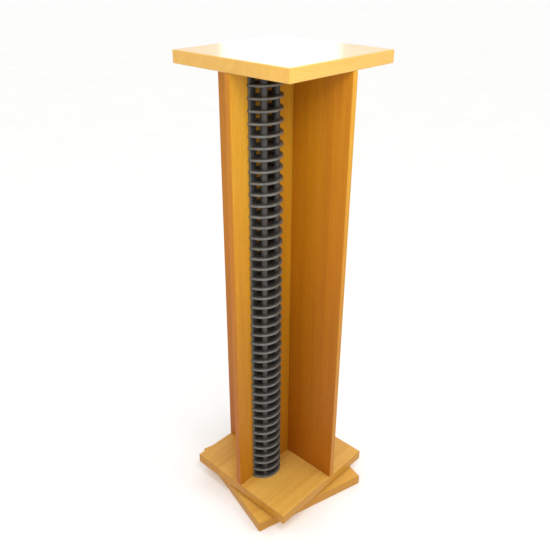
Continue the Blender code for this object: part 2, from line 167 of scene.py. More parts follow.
camera = bpy.data.objects.new("camera", bpy.data.cameras.new("camera"))
camera.data.lens = LENS_MM
camera.data.sensor_width = 36.0
looking = Matrix.Rotation(HEADING - pi / 2, 4, "Z") @ Matrix.Rotation(pi / 2 - LOOK_DOWN, 4, "X")
camera.matrix_world = Matrix.Translation(EYE) @ looking @ Matrix.Rotation(TILT, 4, "Z")
bpy.context.scene.collection.objects.link(camera)
bpy.context.scene.camera = camera
bpy.context.scene.view_settings.view_transform = "Standard"


# Slabs: the floor base, the turning base and the top are the same square of edge-glued timber,
# 400 by 34 mm, planed, with its arrises eased, under a clear varnish. The grain runs from left to
# right. Their side faces carry painted shade, and the top is glossier, so that it shows a glare.

ARRIS_MM = 3.3
BASE_TURN = radians(-15.4)
STAVE_MM = 66.0
GRAIN_STREAK_MM = 2.6
GRAIN_BAND_MM = 22.0
FIBRE_MM = 0.9            # real fibres are a tenth of this, too fine to show
PORE_MM = 1.3
GRAIN_STRETCH = 38.0      # how much longer than wide a streak is
SLAB_HONEY = {"dark": "#D9A144", "mid": "#E4AF50", "light": "#EABB5E", "pore": "#BA8031"}
# The top's palette is paler than the bases': partly the board's own tone, partly painted light.
TOP_HONEY_AND_PAINTED_LIGHT = {"dark": "#E0B353", "mid": "#E8BC5F", "light": "#ECC570", "pore": "#C08D3C"}

# Painted shade: the slabs' side faces are darkened, so that the tops stand out lighter.
PAINTED_SHADE_SLAB_SIDES = (1.0, 1.0, 0.0)
TOWER_HIGH = 1.4


def honey_timber(
    name, seed, turn=(0.0, 0.0, 0.0), colours=SLAB_HONEY, painted_shade=(PAINTED_SHADE_SLAB_SIDES, "#D2C08A"), foot=None,
    polish=0.15, haze=0.28,
):
    """Honey-toned timber under satin varnish. Turn brings the board's grain onto X. Broad bands and
    narrow streaks run along the grain, short dark pores lie between them, each glued stave has its
    own tone, and the varnish gives a soft coat with faint orange peel. Faces that look along the
    given axes are multiplied by the given colour as painted shade, and foot multiplies in painted
    shade that is darkest at the floor and fades up the tower."""
    material, tree, shader, place = new_material(name)
    own = add_node(
        tree, "ShaderNodeMapping",
        {"Vector": place, "Rotation": turn, "Location": (seed * 1.37, seed * 0.61, seed * 0.23)},
    ).outputs["Vector"]
    wander = add_node(tree, "ShaderNodeTexNoise", {"Vector": own, "Scale": 2.2, "Detail": 2.0})
    drift = add_node(
        tree, "ShaderNodeVectorMath",
        {0: wander.outputs["Color"], 1: (0.0, 0.012, 0.012)}, operation="MULTIPLY",
    ).outputs["Vector"]
    bent = add_node(
        tree, "ShaderNodeVectorMath", {0: own, 1: drift}, operation="ADD"
    ).outputs["Vector"]

    def along_grain(width_mm, detail, roughness=0.6, stretch=GRAIN_STRETCH):
        across = 1000 / width_mm
        squeezed = add_node(
            tree, "ShaderNodeMapping", {"Vector": bent, "Scale": (across / stretch, across, across)}
        ).outputs["Vector"]
        grain = add_node(
            tree, "ShaderNodeTexNoise",
            {"Vector": squeezed, "Scale": 1.0, "Detail": detail, "Roughness": roughness},
        )
        return grain.outputs["Fac"]

    def mixed(factor, first, second, blend="MIX"):
        return add_node(
            tree, "ShaderNodeMix", {"Factor": factor, 6: first, 7: second},
            data_type="RGBA", blend_type=blend,
        ).outputs[2]

    bands = along_grain(GRAIN_BAND_MM, 2.0)
    streaks = along_grain(GRAIN_STREAK_MM, 4.0)
    fibres = along_grain(FIBRE_MM, 2.0, 0.7)
    tone = colour_steps(
        tree, bands, [(0.30, colours["dark"]), (0.50, colours["mid"]), (0.72, colours["light"])]
    )
    streaked = colour_steps(
        tree, streaks, [(0.36, colours["dark"]), (0.52, colours["mid"]), (0.66, colours["light"])]
    )
    timber = mixed(0.38, tone, streaked)
    silk = colour_steps(tree, fibres, [(0.35, "#EFEBE4"), (0.60, "#FFFFFF")])
    timber = mixed(0.7, timber, silk, "MULTIPLY")

    split = add_node(tree, "ShaderNodeSeparateXYZ", {"Vector": own})
    stave_at = add_node(
        tree, "ShaderNodeMath", {0: split.outputs["Y"], 1: 1000 / STAVE_MM}, operation="MULTIPLY"
    )
    stave = add_node(tree, "ShaderNodeMath", {0: stave_at.outputs[0]}, operation="FLOOR")
    own_tone = add_node(
        tree, "ShaderNodeTexWhiteNoise", {"W": stave.outputs[0]}, noise_dimensions="1D"
    )
    stave_tone = colour_steps(tree, own_tone.outputs["Value"], [(0.0, "#EBE2D6"), (1.0, "#FFFFFF")])
    timber = mixed(0.35, timber, stave_tone, "MULTIPLY")

    pores = along_grain(PORE_MM, 1.0, 0.5, 14.0)
    pore_spots = add_node(
        tree, "ShaderNodeMapRange",
        {"Value": pores, "From Min": 0.68, "From Max": 0.74, "To Min": 0.0, "To Max": 0.5},
    ).outputs["Result"]
    timber = mixed(pore_spots, timber, linear(colours["pore"]))
    # Painted shade: faces that look along the given axes are darkened by the given colour.
    facing = add_node(
        tree, "ShaderNodeVectorMath",
        {0: add_node(tree, "ShaderNodeTexCoord").outputs["Normal"]}, operation="ABSOLUTE",
    ).outputs["Vector"]
    painted_shade_mask = add_node(
        tree, "ShaderNodeVectorMath", {0: facing, 1: painted_shade[0]}, operation="DOT_PRODUCT"
    ).outputs["Value"]
    timber = mixed(painted_shade_mask, timber, mixed(1.0, timber, linear(painted_shade[1]), "MULTIPLY"))
    # Painted shade: darker towards the foot, fading out up the tower.
    if foot:
        height = add_node(tree, "ShaderNodeSeparateXYZ", {"Vector": place}).outputs["Z"]
        share = add_node(
            tree, "ShaderNodeMath", {0: height, 1: 1 / TOWER_HIGH}, operation="MULTIPLY"
        ).outputs[0]
        timber = mixed(1.0, timber, colour_steps(tree, share, foot, "LINEAR"), "MULTIPLY")
    tree.links.new(timber, shader.inputs["Base Color"])

    gloss = add_node(
        tree, "ShaderNodeMapRange",
        {"Value": streaks, "From Min": 0.3, "From Max": 0.7, "To Min": 0.50, "To Max": 0.40},
    ).outputs["Result"]
    tree.links.new(gloss, shader.inputs["Roughness"])
    peel = add_node(tree, "ShaderNodeTexNoise", {"Vector": place, "Scale": 420.0, "Detail": 1.0})
    bump = add_node(
        tree, "ShaderNodeBump", {"Height": fibres, "Strength": 0.12, "Distance": 0.0004}
    )
    varnish_bump = add_node(
        tree, "ShaderNodeBump",
        {"Height": peel.outputs["Fac"], "Strength": 0.05, "Distance": 0.0003,
         "Normal": bump.outputs["Normal"]},
    )
    tree.links.new(bump.outputs["Normal"], shader.inputs["Normal"])
    tree.links.new(varnish_bump.outputs["Normal"], shader.inputs["Coat Normal"])
    shader.inputs["IOR"].default_value = 1.5
    shader.inputs["Specular IOR Level"].default_value = 0.25
    shader.inputs["Coat Weight"].default_value = polish
    shader.inputs["Coat Roughness"].default_value = haze
    shader.inputs["Coat IOR"].default_value = 1.5
    return material


def planed_board(low, high, arris_mm=ARRIS_MM):
    """A board between two corners, with its arrises rounded."""
    place = Matrix.Translation((low + high) / 2) @ Matrix.Diagonal((*(high - low), 1.0))
    board = bmesh.new()
    bmesh.ops.create_cube(board, size=1.0, matrix=place)
    bmesh.ops.bevel(
        board, geom=board.edges[:], affect="EDGES", offset=arris_mm / 1000,
        segments=5, profile=0.5, material=-1,
    )
    return board


def cut_or_join(piece, shape, operation):
    """Cuts a shape out of a piece, or joins it on, for good."""
    tool = piece_from(piece.name + "_tool", shape, piece.data.materials[0])
    step = piece.modifiers.new("cut", "BOOLEAN")
    step.operation = operation
    step.solver = "EXACT"
    step.object = tool
    graph = bpy.context.evaluated_depsgraph_get()
    made = bpy.data.meshes.new_from_object(piece.evaluated_get(graph))
    piece.modifiers.clear()
    piece.data = made
    bpy.data.objects.remove(tool)


DRILL_LEAD = 0.002         # how far a drill starts outside the face


def bored(piece, holes, facets=28):
    """Drills round holes, each (mouth, direction, depth, radius)."""
    drill = bmesh.new()
    for mouth, direction, depth, radius in holes:
        along = Vector(direction)
        turned = Vector((0, 0, 1)).rotation_difference(along).to_matrix().to_4x4()
        start = Matrix.Translation(Vector(mouth) - along * DRILL_LEAD)
        place = start @ turned @ Matrix.Translation((0, 0, (depth + DRILL_LEAD) / 2))
        bmesh.ops.create_cone(
            drill, cap_ends=True, segments=facets, depth=depth + DRILL_LEAD,
            radius1=radius, radius2=radius, matrix=place,
        )
    cut_or_join(piece, drill, "DIFFERENCE")


def soft_shaded(piece, sharp_degrees=35):
    """Smooth shading that keeps flat faces flat and crisp edges crisp."""
    piece.data.shade_smooth()
    piece.data.set_sharp_from_angle(angle=radians(sharp_degrees))
    normals = piece.modifiers.new("even_normals", "WEIGHTED_NORMAL")
    normals.keep_sharp = True


def stand_for(piece, node):
    """The piece shows in place of a CAD node, on that node's body."""
    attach(piece, frame["nodes"][node]["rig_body"])
    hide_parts(node)


def fixing_axis(node):
    """A fixing's middle, half its length along its longest side, and its radius."""
    low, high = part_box(node)
    size = high - low
    longest = max(range(3), key=lambda axis: size[axis])
    return (low + high) / 2, size[longest] / 2, sorted(size)[1] / 2


slab_low, slab_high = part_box("turning_base")
slab_half = (slab_high - slab_low) / 2
FLOOR_BASE_MIDDLE = Vector((0.0, 0.0, slab_half.z))
ACCESS_RADIUS = 0.008
ACCESS_OUT = 0.063 * sqrt(2)
THREADED = 1.12            # a screw hole in wood, against the screw's own radius
PILOT = 0.0021
BASE_SCREWS = ["base_screw_centre_left", "base_screw_centre_right", "base_screw_front",
               "base_screw_rear"]

slab = planed_board(FLOOR_BASE_MIDDLE - slab_half, FLOOR_BASE_MIDDLE + slab_half)
bmesh.ops.rotate(slab, verts=slab.verts, cent=(0, 0, 0), matrix=Matrix.Rotation(BASE_TURN, 3, "Z"))
floor_base = piece_from(
    "floor_base_slab", slab,
    honey_timber("Honey timber, floor base", 1.0, (0.0, 0.0, -BASE_TURN)),
)
access = Matrix.Rotation(BASE_TURN, 3, "Z") @ Vector((ACCESS_OUT, 0, 0))
bored(floor_base, [(access, (0, 0, 1), slab_half.z * 2 + 2 * DRILL_LEAD, ACCESS_RADIUS)])
soft_shaded(floor_base)
stand_for(floor_base, "floor_base")

turning_base = piece_from(
    "turning_base_slab", planed_board(slab_low, slab_high),
    honey_timber("Honey timber, turning base", 2.0),
)
SINK_DEPTH = 0.0042
SINK_MOUTH = 0.0053
SINK_END = 0.0022
SINK_LEAD = 0.0005
CLEARANCE = 0.0025
through_slab = slab_half.z * 2 + 2 * DRILL_LEAD
bored(turning_base, [
    (Vector((*fixing_axis(name)[0].xy, slab_low.z)), (0, 0, 1), through_slab, CLEARANCE)
    for name in BASE_SCREWS
])
sinks = bmesh.new()
for name in BASE_SCREWS:
    mouth = Vector((*fixing_axis(name)[0].xy, slab_low.z + SINK_DEPTH / 2 - SINK_LEAD))
    bmesh.ops.create_cone(
        sinks, cap_ends=True, segments=28, depth=SINK_DEPTH, radius1=SINK_MOUTH, radius2=SINK_END,
        matrix=Matrix.Translation(mouth),
    )
cut_or_join(turning_base, sinks, "DIFFERENCE")
soft_shaded(turning_base)
stand_for(turning_base, "turning_base")

# The top's side faces carry painted shade too, lighter than on the bases.
top_slab = piece_from(
    "top_slab_slab", planed_board(*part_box("top_slab")),
    honey_timber(
        "Honey timber, top", 3.0, colours=TOP_HONEY_AND_PAINTED_LIGHT, painted_shade=(PAINTED_SHADE_SLAB_SIDES, "#F6EAC2"),
        polish=0.9, haze=0.16,
    ),
)
soft_shaded(top_slab)
stand_for(top_slab, "top_slab")


# Upright boards: one across the whole tower and two half boards that butt it, 19 mm thick, from the
# same timber with the grain upright, held by screws at the foot and dowels elsewhere. Their tone
# deepens towards the foot and on the faces that look along x, in place of the shade of a room.

BOARD_ARRIS_MM = 1.9
UPRIGHT_GRAIN = (0.0, pi / 2, 0.0)
BOARD_HONEY = {"dark": "#C3871B", "mid": "#CD9421", "light": "#D5A02B", "pore": "#9E6813"}
# Painted shade: faces that look along x are darkened, and the tone darkens towards the foot.
PAINTED_SHADE_ALONG_X = (1.0, 0.0, 0.0)
PAINTED_SHADE_FOOT_TONES = [(0.14, "#E0C68E"), (0.43, "#ECDCA6"), (0.61, "#FAEEC6"), (0.86, "#FFFFFF")]
HOLE_PAST = 0.0006
SIDES = {"front": -1, "rear": 1}

for node, seed, ends in (
    ("centre_board", 4.0, ("centre_left", "centre_right")),
    ("front_divider", 5.0, ("front",)),
    ("rear_divider", 6.0, ("rear",)),
):
    low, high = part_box(node)
    board = piece_from(
        node + "_board", planed_board(low, high, BOARD_ARRIS_MM),
        honey_timber(
            "Stained timber, " + node.replace("_", " "), seed, UPRIGHT_GRAIN, BOARD_HONEY,
            painted_shade=(PAINTED_SHADE_ALONG_X, "#F2D9A2"), foot=PAINTED_SHADE_FOOT_TONES, polish=0.06,
        ),
    )
    holes = []
    for tag in ends:
        screw_middle, screw_half, screw_radius = fixing_axis("base_screw_" + tag)
        foot = Vector((*screw_middle.xy, low.z))
        screw_in = screw_middle.z + screw_half - low.z + HOLE_PAST
        holes.append((foot, (0, 0, 1), screw_in, THREADED * screw_radius))
        peg_middle, peg_half, peg_radius = fixing_axis("top_dowel_" + tag)
        head = Vector((*peg_middle.xy, high.z))
        peg_in = high.z - peg_middle.z + peg_half + HOLE_PAST
        holes.append((head, (0, 0, -1), peg_in, peg_radius + HOLE_PAST / 2))
    for side, away in SIDES.items():
        for number in (1, 2, 3):
            peg = f"{side}_divider_dowel_{number}"
            peg_middle, peg_half, peg_radius = fixing_axis(peg)
            if node == "centre_board":
                mouth = Vector((peg_middle.x, high.y * away, peg_middle.z))
                peg_in = abs(mouth.y) - (abs(peg_middle.y) - peg_half) + HOLE_PAST
                holes.append((mouth, (0, -away, 0), peg_in, peg_radius + HOLE_PAST / 2))
            elif node.startswith(side):
                inner = high.y if away < 0 else low.y
                peg_in = abs(peg_middle.y) + peg_half - abs(inner) + HOLE_PAST
                mouth = Vector((peg_middle.x, inner, peg_middle.z))
                holes.append((mouth, (0, away, 0), peg_in, peg_radius + HOLE_PAST / 2))
        if node == "centre_board":
            for number in range(1, 7):
                screw_middle, screw_half, _ = fixing_axis(f"{side}_rack_screw_{number}")
                mouth = Vector((screw_middle.x, high.y * away, screw_middle.z))
                screw_in = abs(mouth.y) - (abs(screw_middle.y) - screw_half) + HOLE_PAST
                holes.append((mouth, (0, -away, 0), screw_in, PILOT))
    bored(board, holes)
    soft_shaded(board)
    stand_for(board, node)


# Racks: each side has three mouldings of fourteen fins on two round posts, with a back of two
# strips and a cross rail at each fin, which screws to the board. Each fin has a lip that hangs down
# round its arched front, and the top moulding has a fifteenth fin that closes it. They are
# injection-moulded ABS, dyed black, with a fine matt spark finish, and a painted sheen greys the
# lips.

FIN_MM = 2.3
LIP_HIGH = 0.006
LIP_WIDE = 0.004
LIP_TOP_ROUND = 0.0022
LIP_FOOT_ROUND = 0.0014
FIN_RADIUS = 0.0594
SLOTS = 14
POST_RADIUS = 0.0095
POST_SPREAD = 0.0229
POST_DEPTH = 0.024
STRIP_NEAR = 0.0315
STRIP_FAR = 0.0543
STRIP_THICK = 0.004
STRIP_ROUND = 0.0008
RACK_HOLE = 0.0022
RAIL_HIGH = 0.005
ARC_FACETS = 112
JOINED = 0.0005           # how far two shapes run into each other where they are joined
SPARK_MM = 0.35
RACK_OUT = 0.0857         # how far a rack's middle is from the turning axis
# Painted sheen: from this distance off the rack's axis out to the lips, the black turns grey.
PAINTED_SHEEN_FROM = 0.050
PAINTED_SHEEN_TO = 0.0575


def black_abs():
    """Black ABS from a spark-eroded mould: fine matt grain, black at the back, and greyer towards
    the lips, a painted sheen for the light that the lips catch."""
    material, tree, shader, place = new_material("Moulded black ABS")
    cloud = add_node(tree, "ShaderNodeTexNoise", {"Vector": place, "Scale": 60.0, "Detail": 4.0})
    split = add_node(tree, "ShaderNodeSeparateXYZ", {"Vector": place})
    out = add_node(tree, "ShaderNodeMath", {0: split.outputs["X"]}, operation="ABSOLUTE")
    along = add_node(tree, "ShaderNodeMath", {0: out.outputs[0], 1: RACK_OUT}, operation="SUBTRACT")
    flat = add_node(tree, "ShaderNodeCombineXYZ", {"X": along.outputs[0], "Y": split.outputs["Y"]})
    reach = add_node(tree, "ShaderNodeVectorMath", {0: flat.outputs[0]}, operation="LENGTH")
    # Painted sheen: lighter grey towards the lips, where they catch the light; the back stays
    # black.
    painted_sheen = add_node(
        tree, "ShaderNodeMapRange",
        {"Value": reach.outputs["Value"], "From Min": PAINTED_SHEEN_FROM, "From Max": PAINTED_SHEEN_TO},
    ).outputs["Result"]
    deep = colour_steps(tree, cloud.outputs["Fac"], [(0.3, "#2E2C2A"), (0.7, "#3E3B38")])
    sheen_grey = colour_steps(tree, cloud.outputs["Fac"], [(0.3, "#585853"), (0.7, "#6A6963")])
    shade = add_node(
        tree, "ShaderNodeMix", {"Factor": painted_sheen, 6: deep, 7: sheen_grey}, data_type="RGBA"
    ).outputs[2]
    tree.links.new(shade, shader.inputs["Base Color"])
    spark = add_node(
        tree, "ShaderNodeTexNoise", {"Vector": place, "Scale": 1000 / SPARK_MM, "Detail": 2.0}
    )
    gloss = add_node(
        tree, "ShaderNodeMapRange",
        {"Value": cloud.outputs["Fac"], "From Min": 0.3, "From Max": 0.7,
         "To Min": 0.50, "To Max": 0.38},
    )
    tree.links.new(gloss.outputs["Result"], shader.inputs["Roughness"])
    bump = add_node(
        tree, "ShaderNodeBump",
        {"Height": spark.outputs["Fac"], "Strength": 0.10, "Distance": 0.0002},
    )
    tree.links.new(bump.outputs["Normal"], shader.inputs["Normal"])
    shader.inputs["IOR"].default_value = 1.54
    return material


def rounded(corner, radius, first_degrees, last_degrees, steps=4):
    """Points round a corner's circle, in the plane of (radius, height)."""
    turns = [first_degrees + (last_degrees - first_degrees) * at / steps for at in range(steps + 1)]
    return [
        (corner[0] + radius * cos(radians(turn)), corner[1] + radius * sin(radians(turn)))
        for turn in turns
    ]


def one_fin(back, low):
    """A thin disc with a lip that hangs down round its edge, cut straight at the board."""
    top, under = low + LIP_HIGH, low + LIP_HIGH - FIN_MM / 1000
    near = FIN_RADIUS - LIP_WIDE
    outline = [(0, top)]
    outline += rounded((FIN_RADIUS - LIP_TOP_ROUND, top - LIP_TOP_ROUND), LIP_TOP_ROUND, 90, 0)
    outline += rounded((FIN_RADIUS - LIP_FOOT_ROUND, low + LIP_FOOT_ROUND), LIP_FOOT_ROUND, 0, -90)
    outline += rounded((near + LIP_FOOT_ROUND, low + LIP_FOOT_ROUND), LIP_FOOT_ROUND, -90, -180)
    outline += [(near, under), (0, under)]
    fin = bmesh.new()
    points = [fin.verts.new((radius, 0, height)) for radius, height in outline]
    edges = [fin.edges.new(pair) for pair in zip(points, points[1:])]
    bmesh.ops.spin(
        fin, geom=points + edges, cent=(0, 0, 0), axis=(0, 0, 1), angle=2 * pi,
        steps=ARC_FACETS, use_merge=True,
    )
    bmesh.ops.remove_doubles(fin, verts=fin.verts, dist=1e-6)
    bmesh.ops.recalc_face_normals(fin, faces=fin.faces)
    bmesh.ops.bisect_plane(
        fin, geom=fin.verts[:] + fin.edges[:] + fin.faces[:], plane_co=(0, back, 0),
        plane_no=(0, 1, 0), clear_outer=True,
    )
    bmesh.ops.holes_fill(fin, edges=[edge for edge in fin.edges if edge.is_boundary])
    return fin


def box_between(shape, low, high):
    """A plain block between two corners. Gives its points."""
    low, high = Vector(low), Vector(high)
    place = Matrix.Translation((low + high) / 2) @ Matrix.Diagonal((*(high - low), 1.0))
    return bmesh.ops.create_cube(shape, size=1.0, matrix=place)["verts"]


def rack_moulding(node, screws, material):
    """One moulding, in front of the board's middle plane and centred on the turning axis."""
    low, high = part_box(node)
    foot, head, back = low.z, high.z, high.y
    board_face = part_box("centre_board")[0].y
    pitch = (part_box("front_rack_2")[0].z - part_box("front_rack_1")[0].z) / SLOTS
    closed_top = node.endswith("3")
    fin_count = SLOTS + 1 if closed_top else SLOTS
    fins = one_fin(back - JOINED, foot)
    first = fins.verts[:] + fins.edges[:] + fins.faces[:]
    for slot in range(1, fin_count):
        copied = bmesh.ops.duplicate(fins, geom=first)["geom"]
        points = [part for part in copied if isinstance(part, bmesh.types.BMVert)]
        bmesh.ops.translate(fins, verts=points, vec=(0, 0, slot * pitch))

    head_of_frame = head - JOINED if closed_top else head
    frame_shape = bmesh.new()
    box_between(
        frame_shape,
        (-STRIP_FAR, back - STRIP_THICK, foot + JOINED),
        (STRIP_FAR, back, head_of_frame),
    )
    fronts = [
        edge for edge in frame_shape.edges
        if all(point.co.y < back - STRIP_THICK / 2 for point in edge.verts)
        and abs(edge.verts[0].co.z - edge.verts[1].co.z) > STRIP_FAR
    ]
    bmesh.ops.bevel(
        frame_shape, geom=fronts, affect="EDGES", offset=STRIP_ROUND, segments=3, profile=0.5,
        material=-1,
    )
    for sign in (-1, 1):
        middle = (sign * POST_SPREAD, board_face - POST_DEPTH, (foot + JOINED + head_of_frame) / 2)
        bmesh.ops.create_cone(
            frame_shape, cap_ends=True, segments=36, depth=head_of_frame - foot - JOINED,
            radius1=POST_RADIUS, radius2=POST_RADIUS, matrix=Matrix.Translation(middle),
        )
    moulding = piece_from(node + "_moulding", frame_shape, material)
    windows = bmesh.new()
    for slot in range(SLOTS):
        sill = foot + slot * pitch + LIP_HIGH + RAIL_HIGH
        lintel = foot + (slot + 1) * pitch + (0 if slot + 1 < fin_count else 2 * JOINED)
        box_between(
            windows, (-STRIP_NEAR, back - 2 * STRIP_THICK, sill),
            (STRIP_NEAR, back + STRIP_THICK, lintel),
        )
    cut_or_join(moulding, windows, "DIFFERENCE")
    cut_or_join(moulding, fins, "UNION")
    holes = []
    for screw in screws:
        middle = fixing_axis(screw)[0]
        mouth = (middle.x - (low.x + high.x) / 2, back - STRIP_THICK, middle.z)
        holes.append((mouth, (0, 1, 0), STRIP_THICK + DRILL_LEAD, RACK_HOLE))
    bored(moulding, holes)
    return moulding


abs_black = black_abs()
for number in (1, 2, 3):
    screws = [f"front_rack_screw_{2 * number - 1}", f"front_rack_screw_{2 * number}"]
    rack = rack_moulding(f"front_rack_{number}", screws, abs_black)
    twin = bpy.data.objects.new(f"rear_rack_{number}_moulding", rack.data.copy())
    bpy.context.scene.collection.objects.link(twin)
    for moulding, side, turn in ((rack, "front", 0), (twin, "rear", pi)):
        node = f"{side}_rack_{number}"
        low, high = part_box(node)
        along = Matrix.Translation(((low.x + high.x) / 2, 0, 0))
        moulding.data.transform(along @ Matrix.Rotation(turn, 4, "Z"))
        soft_shaded(moulding, 40)
        stand_for(moulding, node)


# Bearing: two square pressed sheets, 150 mm across and 1.2 mm thick, with a ring of hardened balls
# between them in a flat cage. The lower sheet's collar is rolled over the dished rim of the upper
# one, so the tower can't be lifted off. The sheets are zinc-plated after pressing.

SHEET_MM = 1.2
SHEET_CORNER_MM = 9.0
BALL_TRACK = 0.054
BALL_COUNT = 18
CAGE_HALF = 0.003
CAGE_MM = 0.8
BALL_PLAY = 0.00015
COLLAR = 0.045
LIP = 0.0026
RIM = 0.0024
RIM_SLOPE = 0.0018
ROOT = 0.0005
RIDGE = 0.001
BEND_MM = 0.3
RING_FACETS = 96
PLATING_MM = 1.6
SHEET_HOLE = 0.0021


def zinc_plate(name, tones):
    """Zinc on steel, bright or blackened: a faint cloud of its tones, and fine scuffs."""
    material, tree, shader, place = new_material(name)
    cloud = add_node(
        tree, "ShaderNodeTexNoise",
        {"Vector": place, "Scale": 1000 / (PLATING_MM * 8), "Detail": 3.0},
    )
    shade = colour_steps(tree, cloud.outputs["Fac"], list(zip((0.30, 0.52, 0.74), tones)))
    tree.links.new(shade, shader.inputs["Base Color"])
    scuffs = add_node(
        tree, "ShaderNodeTexNoise",
        {"Vector": place, "Scale": 1000 / PLATING_MM, "Detail": 6.0, "Roughness": 0.65},
    )
    gloss = add_node(
        tree, "ShaderNodeMapRange",
        {"Value": scuffs.outputs["Fac"], "From Min": 0.3, "From Max": 0.7,
         "To Min": 0.24, "To Max": 0.42},
    )
    tree.links.new(gloss.outputs["Result"], shader.inputs["Roughness"])
    bump = add_node(
        tree, "ShaderNodeBump",
        {"Height": scuffs.outputs["Fac"], "Strength": 0.08, "Distance": 0.0002},
    )
    tree.links.new(bump.outputs["Normal"], shader.inputs["Normal"])
    shader.inputs["Metallic"].default_value = 1.0
    return material


def ball_steel():
    """Ground and lapped chrome steel balls: near mirror, with fine running marks."""
    material, tree, shader, place = new_material("Lapped bearing steel")
    marks = add_node(
        tree, "ShaderNodeTexNoise", {"Vector": place, "Scale": 2400.0, "Detail": 3.0}
    )
    shade = colour_steps(tree, marks.outputs["Fac"], [(0.35, "#B7B8BA"), (0.65, "#D0D0CE")])
    tree.links.new(shade, shader.inputs["Base Color"])
    gloss = add_node(
        tree, "ShaderNodeMapRange",
        {"Value": marks.outputs["Fac"], "From Min": 0.3, "From Max": 0.7,
         "To Min": 0.08, "To Max": 0.18},
    )
    tree.links.new(gloss.outputs["Result"], shader.inputs["Roughness"])
    shader.inputs["Metallic"].default_value = 1.0
    return material


def spun(profile, facets, bend_mm=0.0):
    """A closed profile of (radius, height) points turned round the axis, with its bends eased."""
    ring = bmesh.new()
    points = [ring.verts.new((radius, 0, height)) for radius, height in profile]
    edges = [ring.edges.new(pair) for pair in zip(points, points[1:] + points[:1])]
    bmesh.ops.spin(
        ring, geom=points + edges, cent=(0, 0, 0), axis=(0, 0, 1), angle=2 * pi, steps=facets,
        use_merge=True,
    )
    bmesh.ops.remove_doubles(ring, verts=ring.verts, dist=1e-6)
    bmesh.ops.recalc_face_normals(ring, faces=ring.faces)
    if bend_mm:
        rounds = [
            edge for edge in ring.edges
            if abs(edge.verts[0].co.z - edge.verts[1].co.z) < 1e-7
            and abs(edge.verts[0].co.xy.length - edge.verts[1].co.xy.length) < 1e-7
        ]
        bmesh.ops.bevel(
            ring, geom=rounds, affect="EDGES", offset=bend_mm / 1000, segments=2, profile=0.5,
            material=-1,
        )
    return ring


def pressed_sheet(name, low_z, hole_radius, corner_nodes, turn, material):
    """A square sheet with round corners, a round middle and a hole over each corner screw."""
    half = (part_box("bearing_upper_plate")[1].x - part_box("bearing_upper_plate")[0].x) / 2
    place = (
        Matrix.Translation((0, 0, low_z + SHEET_MM / 2000))
        @ Matrix.Diagonal((2 * half, 2 * half, SHEET_MM / 1000, 1.0))
    )
    sheet = bmesh.new()
    bmesh.ops.create_cube(sheet, size=1.0, matrix=place)
    corners = [edge for edge in sheet.edges if abs(edge.verts[0].co.z - edge.verts[1].co.z) > 1e-5]
    bmesh.ops.bevel(
        sheet, geom=corners, affect="EDGES", offset=SHEET_CORNER_MM / 1000, segments=8,
        profile=0.5, material=-1,
    )
    bmesh.ops.rotate(sheet, verts=sheet.verts, cent=(0, 0, 0), matrix=Matrix.Rotation(turn, 3, "Z"))
    plate = piece_from(name, sheet, material)
    through = SHEET_MM / 1000 + DRILL_LEAD
    bored(plate, [((0, 0, low_z), (0, 0, 1), through, hole_radius)], RING_FACETS)
    bored(plate, [
        ((*fixing_axis(node)[0].xy, low_z), (0, 0, 1), through, SHEET_HOLE)
        for node in corner_nodes
    ])
    return plate


plated = zinc_plate("Bright zinc-plated steel", ("#A9ADB0", "#BDBDB8", "#C6C1AE"))
thick = SHEET_MM / 1000
lower_low, lower_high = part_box("bearing_lower_plate")
upper_low, upper_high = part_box("bearing_upper_plate")
lower_z = lower_low.z
upper_z = upper_high.z - thick
lower_screws = [f"lower_bearing_screw_{number}" for number in (1, 2, 3, 4)]
upper_screws = [f"upper_bearing_screw_{number}" for number in (1, 2, 3, 4)]
ridge_near = BALL_TRACK + CAGE_HALF + RIDGE

lower_plate = pressed_sheet(
    "bearing_lower_sheet", lower_z, COLLAR + ROOT, lower_screws, BASE_TURN, plated
)
lip_z = lower_high.z - thick
cut_or_join(lower_plate, spun([
    (COLLAR + 2 * ROOT, lower_z + ROOT / 2),
    (COLLAR + 2 * ROOT, lower_z + thick - ROOT / 2),
    (COLLAR, lower_z + thick - ROOT / 2),
    (COLLAR, lip_z),
    (COLLAR + LIP, lip_z),
    (COLLAR + LIP, lip_z + thick),
    (COLLAR - thick, lip_z + thick),
    (COLLAR - thick, lower_z + ROOT / 2),
], RING_FACETS, 0.0), "UNION")
cut_or_join(lower_plate, spun([
    (ridge_near, lower_z + thick - ROOT),
    (ridge_near + RIDGE, lower_z + thick - ROOT),
    (ridge_near + RIDGE, lower_z + thick + RIDGE),
    (ridge_near, lower_z + thick + RIDGE),
], RING_FACETS, BEND_MM), "UNION")
soft_shaded(lower_plate)
stand_for(lower_plate, "bearing_lower_plate")

upper_plate = pressed_sheet(
    "bearing_upper_sheet", upper_z, COLLAR + 2 * ROOT + RIM + RIM_SLOPE, upper_screws, 0.0, plated
)
rim_z = upper_low.z
rim_near = COLLAR + 2 * ROOT
brim = rim_near + RIM + RIM_SLOPE
cut_or_join(upper_plate, spun([
    (rim_near, rim_z),
    (rim_near + RIM + ROOT, rim_z),
    (brim + ROOT, upper_z + ROOT / 2),
    (brim + 2 * ROOT, upper_z + ROOT / 2),
    (brim + 2 * ROOT, upper_z + thick - ROOT / 2),
    (brim, upper_z + thick - ROOT / 2),
    (rim_near + RIM, rim_z + thick),
    (rim_near, rim_z + thick),
], RING_FACETS, 0.0), "UNION")
cut_or_join(upper_plate, spun([
    (ridge_near, upper_z - RIDGE),
    (ridge_near + RIDGE, upper_z - RIDGE),
    (ridge_near + RIDGE, upper_z + ROOT),
    (ridge_near, upper_z + ROOT),
], RING_FACETS, BEND_MM), "UNION")
soft_shaded(upper_plate)
stand_for(upper_plate, "bearing_upper_plate")

